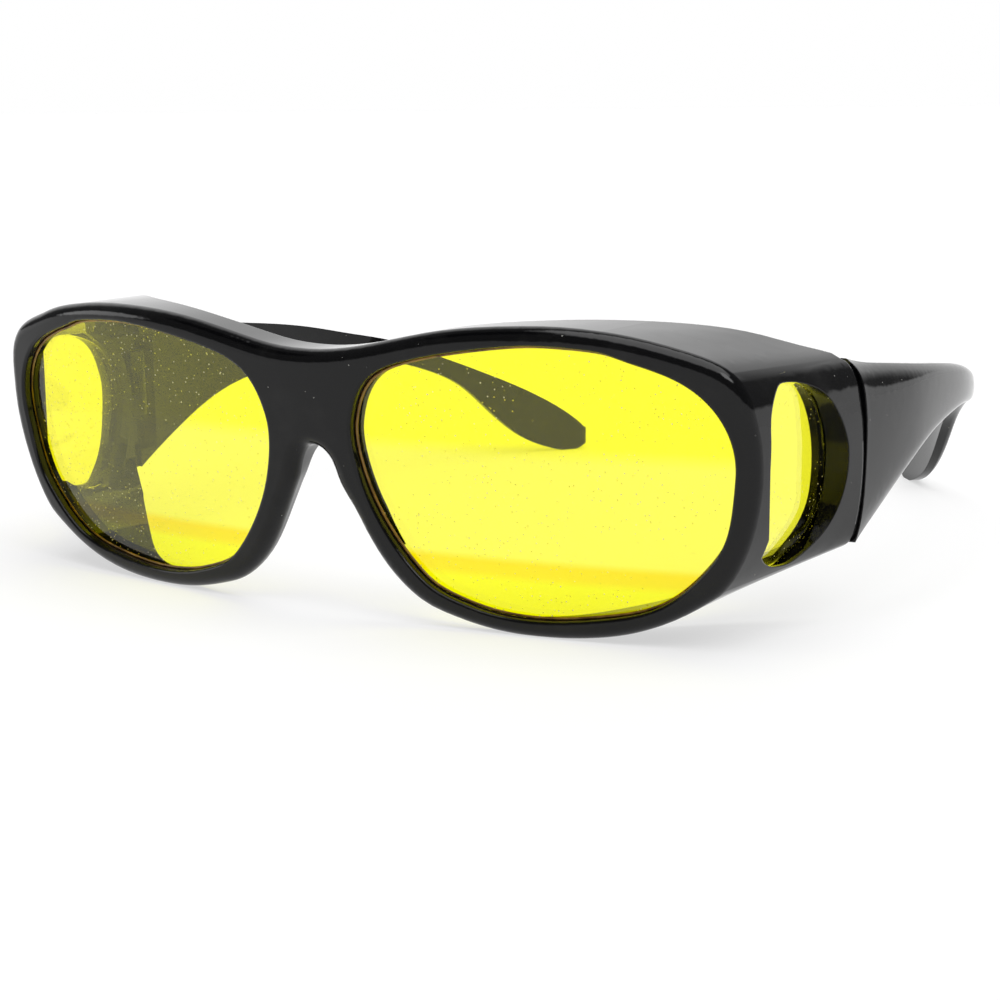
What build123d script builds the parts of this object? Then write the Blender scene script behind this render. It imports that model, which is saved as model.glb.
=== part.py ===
from build123d import *
import math
import os

# Front frame: overall sizes
half_width = 72.2
front_height = 47.2
face_radius = 275.0
face_lean = 7.6
lean_height_share = 0.53
outline_face_y = 10.0
seam_y = 40.4
front_reach = 6.0
seam_overrun = 1.5
floor_drop = 0.85

# Front frame: walls and lens seats
wall_at_face = 2.8
wall_at_seam = 3.8
side_wall_at_face = 3.3
side_wall_at_seam = 5.6
edge_round = 2.2
lip_round = 0.5
lip_depth = 1.8
lens_thickness = 1.8
seat_play = 0.1
rear_lip = 0.9
seat_margin = 1.0

# Side windows and their lenses
side_lens_thickness = 1.2
side_seat_margin = 1.5
side_skin = 0.7
side_clearance = 3.0
window_front_y = 12.8
window_rear_y = 36.0
window_low_share = 0.2246
window_high_share = 0.822
window_bevel_length = 3.6
window_bevel_run = 1.6

# Hinges
hinge_inset = 0.8
seam_gap = 0.3
knuckle_radius = 2.2
knuckle_low_share = 0.4555
knuckle_height = 4.0
knuckle_play = 0.15
pocket_play = 0.25
screw_radius = 0.75
screw_play = 0.06
screw_head_radius = 1.5
screw_head_height = 0.9
screw_slot_width = 0.4
screw_slot_depth = 0.45
hinge_gap = 0.45
front_root = 2.4
temple_root = 3.2

# Temples
temple_length = 122.4
temple_edge_depth = 0.7
temple_edge_length = 1.1
arm_thickness = 3.8
root_thickness = 5.2
tip_thickness = 3.0
root_length = 34.0
web_root = 1.0
root_pocket_low_share = 0.307
root_pocket_high_share = 0.773
root_pocket_length = 4.6
root_pocket_slope = 3.4

# Outline of the front where it meets the face, as shares of half_width and front_height
face_outline_shares = (
    (0.0, 0.892), (0.167, 0.922), (0.334, 0.975), (0.515, 1.0), (0.689, 0.991), (0.843, 0.945),
    (0.907, 0.911), (0.949, 0.875), (0.978, 0.818), (0.995, 0.710), (1.0, 0.572), (0.987, 0.424),
    (0.955, 0.282), (0.909, 0.177), (0.850, 0.100), (0.774, 0.043), (0.677, 0.001), (0.557, -0.021),
    (0.418, -0.012), (0.332, 0.016), (0.262, 0.053), (0.187, 0.152), (0.137, 0.295),
    (0.102, 0.439), (0.079, 0.538), (0.0, 0.573),
)
# The same outline at the seam with the temples
seam_outline_shares = (
    (0.0, 0.892), (0.167, 0.922), (0.334, 0.975), (0.515, 1.002), (0.696, 0.989), (0.857, 0.941),
    (0.940, 0.890), (0.999, 0.852), (1.028, 0.803), (1.044, 0.700), (1.053, 0.555), (1.050, 0.400),
    (1.040, 0.300), (1.023, 0.237), (0.978, 0.203), (0.880, 0.150), (0.750, 0.100), (0.600, 0.045),
    (0.460, 0.020), (0.376, 0.035), (0.307, 0.070), (0.263, 0.160), (0.256, 0.303),
    (0.240, 0.439), (0.190, 0.534), (0.0, 0.590),
)
# Points where one stretch of the outline ends and the next begins
outline_breaks = (0, 4, 7, 10, 13, 16, 19, 22, 25)
aperture_breaks = (0, 4, 8, 12)
window_breaks = (0, 4, 8, 12)
# Opening of a rim, anticlockwise from its outer side
aperture_shares = (
    (0.951, 0.551), (0.930, 0.724), (0.858, 0.838), (0.738, 0.908), (0.581, 0.942), (0.428, 0.924),
    (0.272, 0.879), (0.166, 0.809), (0.114, 0.657), (0.121, 0.498), (0.168, 0.318), (0.248, 0.155),
    (0.369, 0.064), (0.517, 0.037), (0.670, 0.064), (0.794, 0.125), (0.896, 0.271),
)
# Rear edge of the brow and cheek shelves from above, as shares of half_width and seam_y
rear_edge_shares = (
    (0.0, 0.149), (0.167, 0.149), (0.334, 0.160), (0.446, 0.210), (0.557, 0.297), (0.641, 0.411),
    (0.724, 0.554), (0.836, 0.743), (0.919, 0.876), (0.990, 1.0),
)
# Side window from the side, as shares of its depth and of its height
window_shares = (
    (0.0, 0.55), (0.015, 0.76), (0.073, 0.893), (0.19, 0.982), (0.323, 1.0), (0.586, 0.961),
    (0.836, 0.844), (0.974, 0.652), (1.0, 0.511), (0.966, 0.351), (0.815, 0.138), (0.612, 0.021),
    (0.418, 0.0), (0.203, 0.057), (0.078, 0.174), (0.009, 0.369),
)
# Temple sections: place along the temple, outer side, top and bottom, as shares of
# temple_length, half_width and front_height
temple_shares = (
    (0.0025, 1.054, 0.856, 0.220), (0.0335, 1.057, 0.833, 0.265), (0.0703, 1.061, 0.816, 0.309),
    (0.1193, 1.065, 0.801, 0.364), (0.1846, 1.067, 0.782, 0.432), (0.2663, 1.061, 0.758, 0.496),
    (0.3644, 1.047, 0.729, 0.532), (0.4624, 1.025, 0.691, 0.540), (0.5605, 0.987, 0.638, 0.517),
    (0.6503, 0.935, 0.585, 0.487), (0.7239, 0.879, 0.515, 0.428), (0.7892, 0.821, 0.443, 0.335),
    (0.8423, 0.768, 0.379, 0.195), (0.8954, 0.708, 0.307, 0.064), (0.9485, 0.643, 0.218, -0.006),
    (0.9812, 0.600, 0.148, -0.021), (1.0, 0.574, 0.093, 0.004),
)
# Outer side of a temple section: share of the thickness inward, share of the height
root_profile_shares = ((0.30, 0.0), (0.16, 0.10), (0.04, 0.30), (0.0, 0.56), (0.06, 0.775),
                       (0.33, 0.93), (0.85, 1.0))
arm_profile_shares = ((0.42, 0.0), (0.13, 0.10), (0.03, 0.28), (0.0, 0.50), (0.03, 0.72),
                      (0.13, 0.90), (0.42, 1.0))

rear_reach = seam_y + seam_overrun
floor_z = -floor_drop
lean_height = lean_height_share * front_height
seam_spread = (seam_outline_shares[10][0] - 1) * half_width / (seam_y - outline_face_y)
window_low_z = window_low_share * front_height
window_high_z = window_high_share * front_height
window_bevel_y = window_front_y + window_bevel_length
window_edge_x = half_width + seam_spread * (window_front_y - outline_face_y)
hinge_x = half_width - hinge_inset
hinge_y = seam_y + seam_gap + hinge_gap
pocket_floor_x = hinge_x + knuckle_radius + pocket_play
knuckle_low_z = knuckle_low_share * front_height
knuckle_pitch = knuckle_height + knuckle_play
knuckle_high_z = knuckle_low_z + 3 * knuckle_height + 2 * knuckle_play
plate_depth = lip_depth + lens_thickness + 2 * seat_play + rear_lip


def blend(a, b, share):
    return a + (b - a) * share


def half_outline(y):
    share = (y - outline_face_y) / (seam_y - outline_face_y)
    pairs = zip(face_outline_shares, seam_outline_shares)
    return [(blend(f[0], s[0], share) * half_width, blend(f[1], s[1], share) * front_height)
            for f, s in pairs]


def full_outline(half):
    return half + [(-x, z) for x, z in reversed(half[1:-1])]


def moved_inwards(points, distance):
    moved = []
    for index, (x, z) in enumerate(points):
        before = points[index - 1]
        after = points[(index + 1) % len(points)]
        along = Vector(after[0] - before[0], 0, after[1] - before[1]).normalized()
        moved.append((x + along.Z * distance, z - along.X * distance))
    return moved


def smooth_loop(points, breaks):
    count = len(points)
    directions = [(points[(index + 1) % count] - points[index - 1]).normalized()
                  for index in range(count)]
    edges = []
    for start, end in zip(breaks, breaks[1:] + [count]):
        run = [points[index % count] for index in range(start, end + 1)]
        edges.append(Spline(run, tangents=[directions[start], directions[end % count]]))
    return Face(Wire(edges))


def outline_face(y, inset):
    points = moved_inwards(full_outline(half_outline(y)), inset)
    half_breaks = list(outline_breaks)
    breaks = half_breaks + [len(points) - index for index in reversed(half_breaks[1:-1])]
    return smooth_loop([Vector(x, y, z) for x, z in points], breaks)


def shell(y_front, y_rear, inset_at_face, inset_at_seam):
    sections = []
    for y in (y_front, y_rear):
        share = (y - outline_face_y) / (seam_y - outline_face_y)
        sections.append(outline_face(y, blend(inset_at_face, inset_at_seam, share)))
    return loft(sections, ruled=True)


def behind_face(depth):
    wheel = Cylinder(face_radius - depth, 4 * front_height)
    return Pos(0, 0, lean_height) * Rot(face_lean, 0, 0) * Pos(0, face_radius, 0) * wheel


def aperture_points(margin):
    points = [(u * half_width, v * front_height) for u, v in aperture_shares]
    return moved_inwards(points, margin)


def rim_prism(margin):
    points = [Vector(x, -front_reach * 2, z) for x, z in aperture_points(margin)]
    return extrude(smooth_loop(points, list(aperture_breaks)), amount=rear_reach, dir=(0, 1, 0))


def window_prism(margin):
    depth = window_rear_y - window_front_y
    height = window_high_z - window_low_z
    points = [(window_front_y + u * depth, window_low_z + v * height) for u, v in window_shares]
    points = moved_inwards(points, -margin)
    points = [Vector(half_width / 2, y, z) for y, z in points]
    return extrude(smooth_loop(points, list(window_breaks)), amount=half_width, dir=(1, 0, 0))


def box_between(low, high):
    size = [b - a for a, b in zip(low, high)]
    return Pos(*low) * Box(*size, align=(Align.MIN, Align.MIN, Align.MIN))


def flat_face(points):
    return Face(Wire(Polyline(points, close=True).edges()))


def both_sides(part):
    return part + mirror(part, about=Plane.YZ)


def rear_trim():
    points = [(u * half_width, v * seam_y, -front_height) for u, v in rear_edge_shares]
    edge = Spline(points, tangents=[(1, 0, 0), (1, 1, 0)])
    end = points[-1]
    corners = [end, (2 * half_width, seam_y, -front_height),
               (2 * half_width, 2 * rear_reach, -front_height), (0, 2 * rear_reach, -front_height),
               points[0]]
    outline = Wire([edge] + Polyline(corners).edges())
    return extrude(Face(outline), amount=3 * front_height, dir=(0, 0, 1))


def side_wall_x(y):
    slope = seam_spread + (side_wall_at_face - side_wall_at_seam) / (seam_y - outline_face_y)
    return half_width - side_wall_at_face + slope * (y - outline_face_y)


def side_limit():
    rear = 2 * rear_reach
    front_x = side_wall_x(-front_reach)
    rear_x = side_wall_x(rear)
    corners = [(-front_x, -front_reach), (front_x, -front_reach), (rear_x, rear), (-rear_x, rear)]
    face = flat_face([(x, y, -front_height) for x, y in corners])
    return extrude(face, amount=3 * front_height, dir=(0, 0, 1))


def side_sheet(near, far):
    front_x = side_wall_x(0)
    rear_x = side_wall_x(rear_reach)
    corners = [(front_x + near, 0), (front_x + far, 0), (rear_x + far, rear_reach),
               (rear_x + near, rear_reach)]
    face = flat_face([(x, y, -front_height) for x, y in corners])
    return extrude(face, amount=3 * front_height, dir=(0, 0, 1))


def upright(radius, low, high):
    rod = Cylinder(radius, high - low, align=(Align.CENTER, Align.CENTER, Align.MIN))
    return Pos(hinge_x, hinge_y, low) * rod


def knuckle(number):
    low = knuckle_low_z + number * knuckle_pitch
    return low, low + knuckle_height


def front_knuckle(number):
    low, high = knuckle(number)
    web = box_between((hinge_x - knuckle_radius, seam_y - front_root, low),
                      (hinge_x + knuckle_radius, hinge_y, high))
    return upright(knuckle_radius, low, high) + web


def temple_knuckle():
    low, high = knuckle(1)
    web = box_between((hinge_x, hinge_y, low),
                      (pocket_floor_x + web_root, hinge_y + temple_root, high))
    return upright(knuckle_radius, low, high) + web


def screw_hole():
    bore = upright(screw_radius + screw_play, 0, 2 * front_height)
    head_seat = upright(screw_head_radius + screw_play, knuckle_high_z - screw_head_height,
                        2 * front_height)
    return bore, head_seat


def hinge_screw():
    top = knuckle_high_z - screw_play
    shank = upright(screw_radius, knuckle_low_z, top)
    head = upright(screw_head_radius, knuckle_high_z - screw_head_height + screw_play, top)
    slot = Pos(hinge_x, hinge_y, top) * Box(4 * screw_head_radius, screw_slot_width,
                                            2 * screw_slot_depth)
    return shank + head - slot


def temple_section(place, share, tangent):
    y, x, top, bottom = place
    thickness = blend(root_thickness, arm_thickness, min(1, share))
    thickness = blend(thickness, tip_thickness, max(0, min(1, share - 1)))
    out = Vector(tangent.Y, -tangent.X, 0)
    origin = Vector(x, y, 0)
    profile = []
    for root, arm in zip(root_profile_shares, arm_profile_shares):
        inward = blend(root[0], arm[0], min(1, share)) * thickness
        height = blend(bottom, top, blend(root[1], arm[1], min(1, share)))
        profile.append(origin - out * inward + Vector(0, 0, height))
    inner_top = origin - out * thickness + Vector(0, 0, top)
    inner_low = origin - out * thickness + Vector(0, 0, bottom)
    edges = [Spline(profile), Line(profile[-1], inner_top), Line(inner_top, inner_low),
             Line(inner_low, profile[0])]
    return Face(Wire(edges))


def temple_blank():
    places = [(seam_y + along * temple_length, out * half_width, top * front_height,
               bottom * front_height) for along, out, top, bottom in temple_shares]
    sections = []
    for index, place in enumerate(places):
        before = places[max(0, index - 1)]
        after = places[min(len(places) - 1, index + 1)]
        tangent = Vector(after[1] - before[1], after[0] - before[0], 0).normalized()
        if index == 0:
            tangent = Vector(0, 1, 0)
        share = (place[0] - places[0][0]) / root_length
        sections.append(temple_section(place, share, tangent))
    return loft(sections)


def temple_pocket():
    inner = hinge_x - root_thickness
    low = root_pocket_low_share * front_height
    high = root_pocket_high_share * front_height
    start = seam_y
    end = start + root_pocket_length
    corners = [(inner, start), (pocket_floor_x, start), (pocket_floor_x, end),
               (inner, end + root_pocket_slope * 2)]
    face = flat_face([(x, y, low) for x, y in corners])
    return extrude(face, amount=high - low, dir=(0, 0, 1))


def seam_bevel(length, depth):
    band = box_between((-2 * half_width, seam_y, -front_height),
                       (2 * half_width, seam_y + seam_gap + length, 2 * front_height))
    return band - shell(0, rear_reach, depth, depth)


def face_of(part):
    wheels = [face for face in part.faces() if face.geom_type == GeomType.CYLINDER]
    return max(wheels, key=lambda face: face.area)


def make_front():
    front = shell(-front_reach, rear_reach, 0, 0) & behind_face(0)
    front = fillet(face_of(front).edges(), edge_round)
    front -= both_sides(rim_prism(0))
    openings = face_of(front).inner_wires()
    front = fillet([edge for wire in openings for edge in wire.edges()], lip_round)
    cavity = shell(0, rear_reach, wall_at_face, wall_at_seam) & side_limit()
    front -= cavity & behind_face(plate_depth)
    front -= both_sides(rear_trim())
    seat = rim_prism(seat_margin) & behind_face(lip_depth)
    seat -= behind_face(lip_depth + lens_thickness + 2 * seat_play)
    front -= both_sides(seat)
    window = window_prism(0)
    ahead = box_between((-half_width, -2 * rear_reach, -front_height),
                        (0, 2 * rear_reach, 2 * front_height))
    angle = math.degrees(math.atan2(window_bevel_run, window_bevel_length))
    hidden = Pos(window_edge_x, window_front_y, 0) * Rot(0, 0, angle) * ahead
    behind_bevel = box_between((0, window_bevel_y, -front_height),
                               (2 * half_width, 2 * rear_reach, 2 * front_height))
    opening = (window - hidden) + (window & behind_bevel)
    side_seat = window_prism(side_seat_margin) & shell(0, rear_reach, side_skin, side_skin)
    side_seat &= side_sheet(-side_clearance, side_lens_thickness + 2 * seat_play)
    side_seat &= box_between((0, window_bevel_y - side_seat_margin, -front_height),
                             (2 * half_width, 2 * rear_reach, 2 * front_height))
    front -= both_sides(opening)
    front -= both_sides(side_seat)
    return front


def make_lens():
    lens = rim_prism(seat_margin - seat_play) & behind_face(lip_depth + seat_play)
    return lens - behind_face(lip_depth + seat_play + lens_thickness)


def make_side_lens():
    skin = side_skin + seat_play
    lens = window_prism(side_seat_margin - seat_play) & shell(0, rear_reach, skin, skin)
    lens &= side_sheet(seat_play, seat_play + side_lens_thickness)
    front_edge = window_bevel_y - side_seat_margin + seat_play
    return lens & box_between((0, front_edge, -front_height),
                              (2 * half_width, 2 * rear_reach, 2 * front_height))


def make_temple():
    temple = temple_blank() - seam_bevel(temple_edge_length, temple_edge_depth)
    temple -= temple_pocket()
    temple += temple_knuckle()
    bore, head_seat = screw_hole()
    return temple - bore - head_seat


def finish_front(front):
    bore, head_seat = screw_hole()
    low, high = knuckle(1)
    swing = upright(knuckle_radius + pocket_play, low - knuckle_play, high + knuckle_play)
    knuckles = front_knuckle(0) + front_knuckle(2)
    front -= both_sides(swing)
    front += both_sides(knuckles)
    return front - both_sides(bore) - both_sides(head_seat)


def one_solid(part):
    return max(part.solids(), key=lambda solid: solid.volume)


front = one_solid(finish_front(make_front()))
lens = one_solid(make_lens())
side_lens = one_solid(make_side_lens())
temple = one_solid(make_temple())
screw = one_solid(hinge_screw())
foot_cut = box_between((-2 * half_width, -rear_reach, -front_height),
                       (2 * half_width, rear_reach + temple_length, floor_z))
front = one_solid(front - foot_cut)
temple = one_solid(temple - foot_cut)

nodes = {"front_frame": front}
for name, part in (("lens", lens), ("side_lens", side_lens), ("temple", temple),
                   ("hinge_screw", screw)):
    nodes["right_" + name] = part
    nodes["left_" + name] = mirror(part, about=Plane.YZ)

# The shared origin is under the middle of the whole, on the floor
low_y = min(part.bounding_box().min.Y for part in nodes.values())
high_y = max(part.bounding_box().max.Y for part in nodes.values())
shift = Pos(0, -(low_y + high_y) / 2, -floor_z)
os.makedirs("parts", exist_ok=True)
for name, part in nodes.items():
    part = shift * part
    part.label = name
    export_step(part, "parts/" + name + ".step")
print("moved along Y by", round(-(low_y + high_y) / 2, 4))
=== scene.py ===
import math

import bmesh
import bpy
from mathutils import Matrix, Vector


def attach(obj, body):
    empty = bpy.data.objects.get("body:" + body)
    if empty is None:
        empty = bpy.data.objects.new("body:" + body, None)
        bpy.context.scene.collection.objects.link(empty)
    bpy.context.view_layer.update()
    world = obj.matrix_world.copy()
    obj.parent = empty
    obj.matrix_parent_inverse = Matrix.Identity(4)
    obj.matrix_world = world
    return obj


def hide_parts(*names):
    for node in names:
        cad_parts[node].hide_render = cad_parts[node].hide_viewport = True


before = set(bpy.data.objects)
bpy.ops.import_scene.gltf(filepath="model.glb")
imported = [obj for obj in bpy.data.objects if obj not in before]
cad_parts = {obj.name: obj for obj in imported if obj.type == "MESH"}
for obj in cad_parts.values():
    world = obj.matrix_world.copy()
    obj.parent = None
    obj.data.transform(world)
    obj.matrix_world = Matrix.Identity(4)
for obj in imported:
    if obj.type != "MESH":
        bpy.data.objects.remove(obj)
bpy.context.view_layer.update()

# Camera: its place in metres, its angles in degrees, its lens and sensor in millimetres
camera_place = Vector((0.1855, -0.32942, 0.07965))
camera_turn = 31.18
camera_pitch = 11.16
camera_roll = -0.57
camera_lens = 71.96
camera_sensor = 36.0
camera_nearest = 0.01

# Studio: white below the horizon and the level of the room above it, with the slopes between
# which one turns into the other, then panels of light and shade, each with its direction, the
# angles in degrees where it is full and where it ends, and its brightness
white = (1.0, 1.0, 1.0, 1.0)
white_level = 1.0
room_level = 0.16
horizon_slopes = (0.07, 0.10)
studio_panels = (
    ((-0.5, 0.84, 0.2), 38, 52, 1.1),
    ((0.15, -0.05, 0.98), 27, 33, 3.15),
    ((0.62, -0.2, 0.7), 9, 12, 6.0),
    ((-0.45, -0.35, 0.83), 10, 15, 0.02),
    ((-0.85, -0.4, 0.25), 9, 12, 3.0),
)

# Floor: half its length in metres, its finish, and the share of its brightness that is its own,
# so that it stays white and keeps a soft shadow
floor_half = 30.0
floor_colour = (0.95, 0.95, 0.95, 1.0)
floor_roughness = 0.6
floor_shine = 0.0
floor_own_share = 0.6

# Spans of a value, rising and falling, the whole weight of a finish, and the opacity of a colour
rising = (0.0, 1.0)
falling = (1.0, 0.0)
full = 1.0
opaque = 1.0

# Noise textures: scale per metre, detail and roughness
smear_noise = (110.0, 7.0, 0.65)
grain_noise = (2600.0, 3.0, 0.6)
patch_noise = (55.0, 3.0, 0.5)
lens_noise = (60.0, 4.0, 0.5)
steel_noise = (900.0, 4.0, 0.5)
amber_noise = (320.0, 4.0, 0.5)

# Gloss black plastic: clean and hazy colour, where the smears turn hazy and rough, how rough
# they are, its reflection, its fine grain in metres, and the highlight along sharp edges
clean_black = (0.0022, 0.0022, 0.0026, 1.0)
hazy_black = (0.0085, 0.0085, 0.0085, 1.0)
haze_span = (0.52, 0.74)
smear_span = (0.48, 0.72)
plastic_roughness = (0.02, 0.16)
plastic_ior = 1.5
plastic_shine = 0.27
grain_strength = 0.03
grain_depth = 0.00002
edge_highlight_radius = 0.0003
edge_highlight_samples = 4

# Lenses: the reflection of the main and the side ones, their roughness, and the light that
# passes through them
main_lens_shine = 0.42
side_lens_shine = 0.2
lens_ior = 1.5
lens_noise_span = (0.35, 0.7)
lens_roughness = (0.0, 0.03)
lens_light = (1.0, 0.985, 0.03, 1.0)
# Tint of the lenses from the bottom up, height in metres and colour, with a painted shadow:
# the orange band low down stands in for the yellow shadow that the lens throws on the floor,
# seen through the lens, and the yellow turns deeper again at the top
tint_and_shadow_top = 0.05
main_lens_tint_and_painted_shadow = (
    (0.0080, (1.0, 0.99, 0.0)),
    (0.0093, (1.0, 0.84, 0.0)),
    (0.0110, (1.0, 0.81, 0.0)),
    (0.0122, (1.0, 0.97, 0.08)),
    (0.0275, (1.0, 0.97, 0.08)),
    (0.0300, (1.0, 0.97, 0.01)),
)
# The side lens turns orange at its bottom in the same way, a painted shadow
side_lens_tint_and_painted_shadow = (
    (0.0040, (1.0, 0.88, 0.0)),
    (0.0130, (1.0, 0.97, 0.03)),
)

# Dust: spacing of the grains in metres, their size as a share of it, their colour, the share
# of a grain that is solid, the share of the grains that is kept, and where the patches lie
lens_dust = (0.0010, 0.13, (0.95, 0.86, 0.36, 1.0))
frame_dust = (0.003, 0.045, (0.3, 0.3, 0.28, 1.0))
grain_core_share = 0.7
grain_kept_share = 0.95
grain_kept_step = 0.01
patch_span = (0.40, 0.5)

# Steel of the screws, and the amber edge of the lenses
steel_colour = (0.6, 0.6, 0.62, 1.0)
steel_noise_span = (0.3, 0.7)
steel_roughness = (0.18, 0.4)
amber_dark = (0.10, 0.045, 0.004, 1.0)
amber_light = (0.30, 0.16, 0.02, 1.0)
amber_noise_span = (0.35, 0.65)
amber_roughness = 0.25

# Side window in metres: its middle, half height, reach to the front and to the rear, how
# square its two ends are, and where the side lens ends at the front
window_middle_y = -0.0583
window_middle_z = 0.02555
window_half_height = 0.0141
window_reach_front = 0.0093
window_reach_rear = 0.0139
window_front_power = 3.1
window_rear_power = 2.0
side_lens_front_y = -0.0653
# Inner face of the side wall: its distance from the middle plane at one place, and its slope
wall_inner_x = 0.0689
wall_inner_y = -0.0704
wall_inner_slope = 0.0502
# Side lens: how far it reaches past the window, its play and thickness, how far it bends in
# near the lower end of the window, and over what height
side_lens_margin = 0.0013
side_lens_play = 0.0001
side_lens_thickness = 0.0012
side_lens_bend = 0.0029
side_lens_bend_height = 0.0095
sheet_rings = 8
# Ledge round the rear of the window that holds the side lens from inside
ledge_overlap = 0.0010
ledge_margin = 0.0019
ledge_thickness = 0.0012
ledge_reach = math.radians(84)

# Polished edge line of a main lens, in the corner between the lens and the rim
edge_line_radius = 0.00024
edge_line_inset = 0.0011
edge_line_lift = 0.00005
edge_line_resolution = 2
weld_distance = 0.000002
sharp_angle = math.radians(50)

# Rounded end of a temple: its length beyond the flat end, its rings, and how that end is
# found: the depth in which it lies, its least backward and greatest upward facing, its play
# in metres, and the digits to which places are compared
tip_round_length = 0.0012
tip_rings = 6
tip_search_depth = 0.003
tip_least_backward = 0.5
tip_greatest_upward = 0.02
tip_play = 0.00003
place_digits = 6

# Steps round a whole outline and along a ledge, corners of a ledge's section, a whole and a
# quarter turn, and the two main directions
outline_steps = 96
ledge_steps = outline_steps // 2
ledge_corners = 4
whole_turn = 2 * math.pi
quarter_turn = math.pi / 2
backward = Vector((0, 1, 0))
upward = Vector((0, 0, 1))


def node_tree(name):
    material = bpy.data.materials.new(name)
    material.use_nodes = True
    tree = material.node_tree
    tree.nodes.clear()
    return material, tree


def add(tree, kind, **values):
    node = tree.nodes.new(kind)
    for key, value in values.items():
        setattr(node, key, value)
    return node


def value(node, name, number):
    node.inputs[name].default_value = number


def object_place(tree):
    return add(tree, "ShaderNodeTexCoord").outputs["Object"]


def noise(tree, place, settings):
    node = add(tree, "ShaderNodeTexNoise")
    for name, number in zip(("Scale", "Detail", "Roughness"), settings):
        value(node, name, number)
    tree.links.new(place, node.inputs["Vector"])
    return node.outputs["Fac"]


def remap(tree, source, span, new_span=rising):
    node = add(tree, "ShaderNodeMapRange")
    for name, number in zip(("From Min", "From Max", "To Min", "To Max"), (*span, *new_span)):
        value(node, name, number)
    tree.links.new(source, node.inputs["Value"])
    return node.outputs["Result"]


def combine(tree, operation, first, second):
    node = add(tree, "ShaderNodeMath", operation=operation)
    tree.links.new(first, node.inputs[0])
    tree.links.new(second, node.inputs[1])
    return node.outputs["Value"]


def any_ray(tree, rays):
    """1 for each of the named kinds of ray, and 0 for the others"""
    path = add(tree, "ShaderNodeLightPath")
    found = path.outputs[rays[0]]
    for ray in rays[1:]:
        found = combine(tree, "MAXIMUM", found, path.outputs[ray])
    return found


def blend_colours(tree, share, first, second):
    blend = add(tree, "ShaderNodeMix", data_type="RGBA")
    value(blend, "A", first)
    value(blend, "B", second)
    tree.links.new(share, blend.inputs["Factor"])
    return blend.outputs["Result"]


def blend_level(tree, share, level, number):
    blend = add(tree, "ShaderNodeMix")
    tree.links.new(share, blend.inputs["Factor"])
    tree.links.new(level, blend.inputs["A"])
    value(blend, "B", number)
    return blend.outputs["Result"]


def mix_shaders(tree, share, first, second):
    mix = add(tree, "ShaderNodeMixShader")
    tree.links.new(share, mix.inputs["Fac"])
    tree.links.new(first, mix.inputs[1])
    tree.links.new(second, mix.inputs[2])
    return mix.outputs["Shader"]


def surface(tree, shader):
    output = add(tree, "ShaderNodeOutputMaterial")
    tree.links.new(shader, output.inputs["Surface"])


def specks(tree, place, spacing, size):
    """Small round grains scattered at random: 1 on a grain and 0 between them"""
    cells = add(tree, "ShaderNodeTexVoronoi")
    value(cells, "Scale", 1 / spacing)
    tree.links.new(place, cells.inputs["Vector"])
    grain = remap(tree, cells.outputs["Distance"], (size * grain_core_share, size), falling)
    chance = add(tree, "ShaderNodeSeparateColor")
    tree.links.new(cells.outputs["Color"], chance.inputs["Color"])
    kept = remap(tree, chance.outputs["Red"],
                 (grain_kept_share, grain_kept_share + grain_kept_step), falling)
    return combine(tree, "MULTIPLY", grain, kept)


def with_dust(tree, place, shader, dust):
    """The given shader with grains of dust on it that lie in loose patches"""
    spacing, size, colour = dust
    grains = specks(tree, place, spacing, size)
    patch = remap(tree, noise(tree, place, patch_noise), patch_span)
    dull = add(tree, "ShaderNodeBsdfDiffuse")
    value(dull, "Color", colour)
    return mix_shaders(tree, combine(tree, "MULTIPLY", grains, patch), shader,
                       dull.outputs["BSDF"])


def gloss_black():
    material, tree = node_tree("gloss_black_plastic")
    place = object_place(tree)
    shader = add(tree, "ShaderNodeBsdfPrincipled")
    smear = noise(tree, place, smear_noise)
    haze = blend_colours(tree, remap(tree, smear, haze_span), clean_black, hazy_black)
    tree.links.new(haze, shader.inputs["Base Color"])
    value(shader, "IOR", plastic_ior)
    value(shader, "Specular IOR Level", plastic_shine)
    tree.links.new(remap(tree, smear, smear_span, plastic_roughness), shader.inputs["Roughness"])
    edge = add(tree, "ShaderNodeBevel", samples=edge_highlight_samples)
    value(edge, "Radius", edge_highlight_radius)
    bump = add(tree, "ShaderNodeBump")
    value(bump, "Strength", grain_strength)
    value(bump, "Distance", grain_depth)
    tree.links.new(noise(tree, place, grain_noise), bump.inputs["Height"])
    tree.links.new(edge.outputs["Normal"], bump.inputs["Normal"])
    tree.links.new(bump.outputs["Normal"], shader.inputs["Normal"])
    surface(tree, with_dust(tree, place, shader.outputs["BSDF"], frame_dust))
    return material


def tint_and_painted_shadow_by_height(tree, place, stops):
    """The colour of a lens at each height, blended between the stops, with a painted shadow in
    its lower band
    """
    ramp = add(tree, "ShaderNodeValToRGB")
    elements = ramp.color_ramp.elements
    elements.remove(elements[1])
    elements[0].position = stops[0][0] / tint_and_shadow_top
    elements[0].color = (*stops[0][1], opaque)
    for height, colour in stops[1:]:
        element = elements.new(height / tint_and_shadow_top)
        element.color = (*colour, opaque)
    parts = add(tree, "ShaderNodeSeparateXYZ")
    tree.links.new(place, parts.inputs["Vector"])
    tree.links.new(remap(tree, parts.outputs["Z"], (0.0, tint_and_shadow_top)), ramp.inputs["Fac"])
    return ramp.outputs["Color"]


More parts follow.
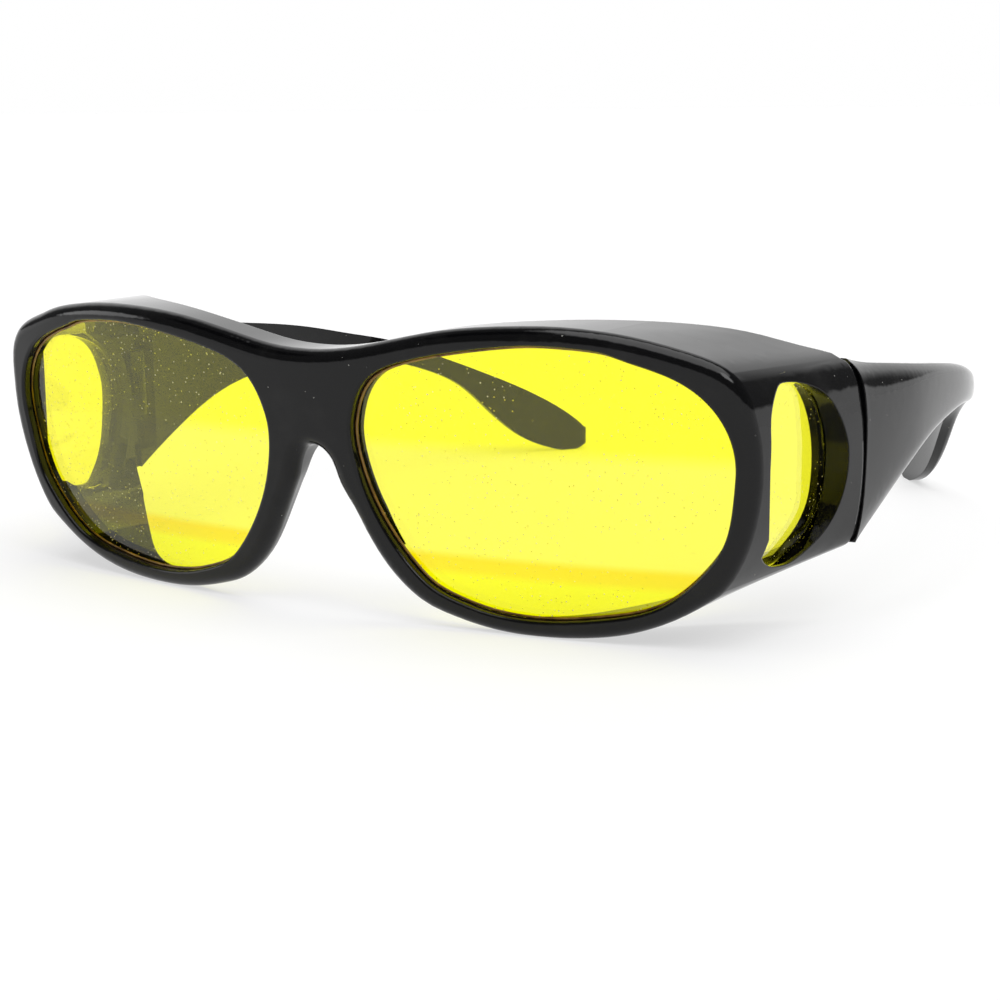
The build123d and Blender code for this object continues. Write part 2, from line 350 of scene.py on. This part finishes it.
def tinted_lens(name, shine, stops):
    """Clear tinted plastic with dust, which lets light through to what lies in its shadow"""
    material, tree = node_tree(name)
    place = object_place(tree)
    body = add(tree, "ShaderNodeBsdfPrincipled")
    # The tint holds a painted shadow: an orange band low down where the lens's yellow shadow on
    # the floor shows through
    tree.links.new(tint_and_painted_shadow_by_height(tree, place, stops), body.inputs["Base Color"])
    value(body, "Transmission Weight", full)
    value(body, "IOR", lens_ior)
    value(body, "Specular IOR Level", shine)
    unevenness = noise(tree, place, lens_noise)
    tree.links.new(remap(tree, unevenness, lens_noise_span, lens_roughness),
                   body.inputs["Roughness"])
    dusty = with_dust(tree, place, body.outputs["BSDF"], lens_dust)
    clear = add(tree, "ShaderNodeBsdfTransparent")
    value(clear, "Color", lens_light)
    passing = any_ray(tree, ("Is Shadow Ray", "Is Diffuse Ray"))
    surface(tree, mix_shaders(tree, passing, dusty, clear.outputs["BSDF"]))
    return material


def steel():
    material, tree = node_tree("screw_steel")
    place = object_place(tree)
    shader = add(tree, "ShaderNodeBsdfPrincipled")
    value(shader, "Base Color", steel_colour)
    value(shader, "Metallic", full)
    tree.links.new(remap(tree, noise(tree, place, steel_noise), steel_noise_span,
                         steel_roughness), shader.inputs["Roughness"])
    surface(tree, shader.outputs["BSDF"])
    return material


def amber_edge():
    material, tree = node_tree("amber_lens_edge")
    place = object_place(tree)
    shader = add(tree, "ShaderNodeBsdfPrincipled")
    share = remap(tree, noise(tree, place, amber_noise), amber_noise_span)
    tree.links.new(blend_colours(tree, share, amber_dark, amber_light),
                   shader.inputs["Base Color"])
    value(shader, "Roughness", amber_roughness)
    surface(tree, shader.outputs["BSDF"])
    return material


def white_floor():
    material, tree = node_tree("white_floor")
    shader = add(tree, "ShaderNodeBsdfPrincipled")
    value(shader, "Base Color", floor_colour)
    value(shader, "Roughness", floor_roughness)
    value(shader, "Specular IOR Level", floor_shine)
    glow = add(tree, "ShaderNodeEmission")
    value(glow, "Color", white)
    value(glow, "Strength", white_level)
    seen = any_ray(tree, ("Is Camera Ray", "Is Glossy Ray", "Is Transmission Ray"))
    share = remap(tree, seen, rising, (0.0, floor_own_share))
    surface(tree, mix_shaders(tree, share, shader.outputs["BSDF"], glow.outputs["Emission"]))
    return material


def paint(names, material):
    for name in names:
        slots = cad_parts[name].data.materials
        slots.clear()
        slots.append(material)


def place_piece(name, data, material, body):
    """An object of its own that moves with a body"""
    data.materials.append(material)
    piece = bpy.data.objects.new(name, data)
    bpy.context.collection.objects.link(piece)
    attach(piece, body)
    return piece


def mesh_of(name, points, faces, smooth):
    mesh = bpy.data.meshes.new(name)
    mesh.from_pydata(points, [], faces)
    for polygon in mesh.polygons:
        polygon.use_smooth = smooth
    return mesh


def front_piece(name, points, faces, side, smooth, material):
    """A piece of the front body, mirrored for the left side"""
    if side < 0:
        faces = [tuple(reversed(face)) for face in faces]
    points = [(side * x, y, z) for x, y, z in points]
    return place_piece(name, mesh_of(name, points, faces, smooth), material, "front")


def window_point(angle, margin):
    """A point of the window's outline, as the places along Y and Z, moved out by a margin"""
    along = math.cos(angle)
    up = math.sin(angle)
    reach = window_reach_rear if along >= 0 else window_reach_front
    power = window_rear_power if along >= 0 else window_front_power
    radius = (abs(along) ** power + abs(up) ** power) ** (-1.0 / power)
    y = window_middle_y + along * radius * reach + along * margin
    z = window_middle_z + up * radius * window_half_height + up * margin
    return y, z


def wall_x(y, z):
    """Inner face of the side wall and of what sits on it, bent in near the lower end"""
    low = window_middle_z - window_half_height
    fall = max(0.0, (low + side_lens_bend_height - z) / side_lens_bend_height)
    return wall_inner_x + wall_inner_slope * (y - wall_inner_y) - side_lens_bend * fall ** 2


def side_lens(side, name, material):
    """A sheet over the whole window that bends in with the wall near its lower end"""
    outline = []
    for step in range(outline_steps):
        y, z = window_point(whole_turn * step / outline_steps, side_lens_margin)
        outline.append((max(y, side_lens_front_y), z))
    points = []
    for ring in range(sheet_rings + 1):
        share = ring / sheet_rings
        for y, z in outline if ring else outline[:1]:
            y = window_middle_y + share * (y - window_middle_y)
            z = window_middle_z + share * (z - window_middle_z)
            points.append((wall_x(y, z) + side_lens_play, y, z))
    faces = []
    for step in range(outline_steps):
        after = (step + 1) % outline_steps
        faces.append((0, 1 + step, 1 + after))
        for ring in range(sheet_rings - 1):
            base = 1 + ring * outline_steps
            faces.append((base + step, base + outline_steps + step,
                          base + outline_steps + after, base + after))
    piece = front_piece(name + "_sheet", points, faces, side, True, material)
    solid = piece.modifiers.new("thickness", "SOLIDIFY")
    solid.thickness = side_lens_thickness
    solid.offset = full
    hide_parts(name)


def window_ledge(side, name, material):
    """A crescent on the inner face of the side wall, behind the rear edge of the lens"""
    points = []
    for step in range(ledge_steps + 1):
        angle = ledge_reach * (2 * step / ledge_steps - 1)
        width = (ledge_margin + ledge_overlap) * math.sqrt(math.cos(angle))
        inner = ledge_margin - width
        section = ((ledge_margin, 0), (inner, 0), (inner, ledge_thickness),
                   (ledge_margin, ledge_thickness))
        for margin, depth in section:
            y, z = window_point(angle, margin)
            points.append((wall_x(y, z) - depth, y, z))
    first_end = tuple(reversed(range(ledge_corners)))
    last_end = tuple(ledge_corners * ledge_steps + corner for corner in range(ledge_corners))
    faces = [first_end, last_end]
    for step in range(ledge_steps):
        near = ledge_corners * step
        far = near + ledge_corners
        for corner in range(ledge_corners):
            after = (corner + 1) % ledge_corners
            faces.append((near + corner, near + after, far + after, far + corner))
    front_piece(name, points, faces, side, False, material)


def sharp_neighbours(work):
    """For each point on a sharp edge of the mesh, the next points along such edges"""
    neighbours = {}
    for edge in work.edges:
        if len(edge.link_faces) == 2 and edge.calc_face_angle() > sharp_angle:
            first, second = edge.verts
            neighbours.setdefault(first, []).append(second)
            neighbours.setdefault(second, []).append(first)
    return neighbours


def front_loop(lens):
    """The front outline of a lens, point by point: the foremost of its two sharp loops"""
    work = bmesh.new()
    work.from_mesh(lens.data)
    bmesh.ops.remove_doubles(work, verts=work.verts, dist=weld_distance)
    neighbours = sharp_neighbours(work)
    loops = []
    seen = set()
    for start in neighbours:
        if start in seen:
            continue
        loop = [start]
        seen.add(start)
        ahead = [vertex for vertex in neighbours[start] if vertex not in seen]
        while ahead:
            loop.append(ahead[0])
            seen.add(ahead[0])
            ahead = [vertex for vertex in neighbours[ahead[0]] if vertex not in seen]
        loops.append([vertex.co.copy() for vertex in loop])
    work.free()
    longest = sorted(loops, key=len)[-2:]
    return min(longest, key=lambda loop: sum(point.y for point in loop) / len(loop))


def edge_line(lens, name, material):
    """The thin amber line of a lens's polished edge, just inside the rim"""
    loop = front_loop(lens)
    middle = sum(loop, Vector()) / len(loop)
    curve = bpy.data.curves.new(name, "CURVE")
    curve.dimensions = "3D"
    curve.bevel_depth = edge_line_radius
    curve.bevel_resolution = edge_line_resolution
    spline = curve.splines.new("POLY")
    spline.points.add(len(loop) - 1)
    spline.use_cyclic_u = True
    for index, point in enumerate(loop):
        along = (loop[(index + 1) % len(loop)] - loop[index - 1]).normalized()
        inward = along.cross(backward).normalized()
        if inward.dot(middle - point) < 0:
            inward = -inward
        place = point + inward * edge_line_inset - backward * edge_line_lift
        spline.points[index].co = (*place, full)
    place_piece(name, curve, material, "front")


def flat_end(mesh):
    """The outline of a temple's flat rear end, in order round it, and the way that it faces"""
    rear = max(vertex.co.y for vertex in mesh.vertices)
    ends = [face for face in mesh.polygons
            if face.center.y > rear - tip_search_depth and face.normal.y > tip_least_backward
            and abs(face.normal.z) < tip_greatest_upward]
    ends.sort(key=lambda face: face.area)
    ahead = ends[-1].normal.copy()
    level = max(mesh.vertices[index].co.dot(ahead) for index in ends[-1].vertices)
    places = {}
    for face in ends:
        for index in face.vertices:
            place = mesh.vertices[index].co
            if abs(place.dot(ahead) - level) < tip_play:
                places[tuple(round(number, place_digits) for number in place)] = place.copy()
    ring = list(places.values())
    middle = sum(ring, Vector()) / len(ring)
    across = ahead.cross(upward).normalized()
    ring.sort(key=lambda place: math.atan2((place - middle).z, (place - middle).dot(across)))
    return ring, middle, ahead


def tip_cap(temple, side_name, material):
    """The rounded end of a temple: a dome on the flat face at its rear end"""
    ring, middle, ahead = flat_end(temple.data)
    points = []
    for number in range(tip_rings):
        turn = quarter_turn * number / tip_rings
        for place in ring:
            points.append(middle + (place - middle) * math.cos(turn)
                          + ahead * (tip_round_length * math.sin(turn)))
    points.append(middle + ahead * tip_round_length)
    count = len(ring)
    last = (tip_rings - 1) * count
    faces = []
    for step in range(count):
        after = (step + 1) % count
        for number in range(tip_rings - 1):
            base = number * count
            faces.append((base + step, base + after, base + count + after, base + count + step))
        faces.append((last + step, last + after, tip_rings * count))
    name = side_name + "_temple_tip"
    place_piece(name, mesh_of(name, points, faces, True), material, side_name + "_arm")


def make_floor():
    corners = [(-floor_half, -floor_half, 0), (floor_half, -floor_half, 0),
               (floor_half, floor_half, 0), (-floor_half, floor_half, 0)]
    mesh = mesh_of("floor", corners, [(0, 1, 2, 3)], False)
    floor = bpy.data.objects.new("floor", mesh)
    bpy.context.collection.objects.link(floor)
    mesh.materials.append(white_floor())


def make_world():
    """A white backdrop for what looks at it, and a room with panels for the light"""
    world = bpy.data.worlds.new("studio")
    bpy.context.scene.world = world
    world.use_nodes = True
    tree = world.node_tree
    background = tree.nodes["Background"]
    heading = add(tree, "ShaderNodeTexCoord").outputs["Generated"]
    parts = add(tree, "ShaderNodeSeparateXYZ")
    tree.links.new(heading, parts.inputs["Vector"])
    level = remap(tree, parts.outputs["Z"], horizon_slopes, (white_level, room_level))
    for direction, inner, outer, strength in studio_panels:
        facing = add(tree, "ShaderNodeVectorMath", operation="DOT_PRODUCT")
        facing.inputs[1].default_value = Vector(direction).normalized()
        tree.links.new(heading, facing.inputs[0])
        span = (math.cos(math.radians(outer)), math.cos(math.radians(inner)))
        share = remap(tree, facing.outputs["Value"], span)
        level = blend_level(tree, share, level, strength)
    seen = any_ray(tree, ("Is Camera Ray", "Is Transmission Ray"))
    level = blend_level(tree, seen, level, white_level)
    tree.links.new(level, background.inputs["Strength"])
    value(background, "Color", white)


def make_camera():
    data = bpy.data.cameras.new("camera")
    data.lens = camera_lens
    data.sensor_width = camera_sensor
    data.clip_start = camera_nearest
    camera = bpy.data.objects.new("camera", data)
    bpy.context.collection.objects.link(camera)
    turn = math.radians(camera_turn)
    pitch = math.radians(camera_pitch)
    roll = math.radians(camera_roll)
    ahead = Vector((-math.sin(turn) * math.cos(pitch), math.cos(turn) * math.cos(pitch),
                    -math.sin(pitch)))
    right = Vector((math.cos(turn), math.sin(turn), 0))
    up = right.cross(ahead)
    rolled_right = right * math.cos(roll) + up * math.sin(roll)
    rolled_up = up * math.cos(roll) - right * math.sin(roll)
    matrix = Matrix((rolled_right, rolled_up, -ahead)).transposed().to_4x4()
    matrix.translation = camera_place
    camera.matrix_world = matrix
    bpy.context.scene.camera = camera


bpy.context.scene.view_settings.view_transform = "Standard"
black = gloss_black()
yellow = tinted_lens("yellow_lens", main_lens_shine, main_lens_tint_and_painted_shadow)
side_yellow = tinted_lens("yellow_side_lens", side_lens_shine, side_lens_tint_and_painted_shadow)
paint(["front_frame", "right_temple", "left_temple"], black)
paint(["right_lens", "left_lens", "right_side_lens", "left_side_lens"], yellow)
paint(["right_hinge_screw", "left_hinge_screw"], steel())
amber = amber_edge()
for side, side_name in ((1, "right"), (-1, "left")):
    side_lens(side, side_name + "_side_lens", side_yellow)
    window_ledge(side, side_name + "_window_ledge", black)
    edge_line(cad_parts[side_name + "_lens"], side_name + "_lens_edge_line", amber)
    tip_cap(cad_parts[side_name + "_temple"], side_name, black)
make_floor()
make_world()
make_camera()
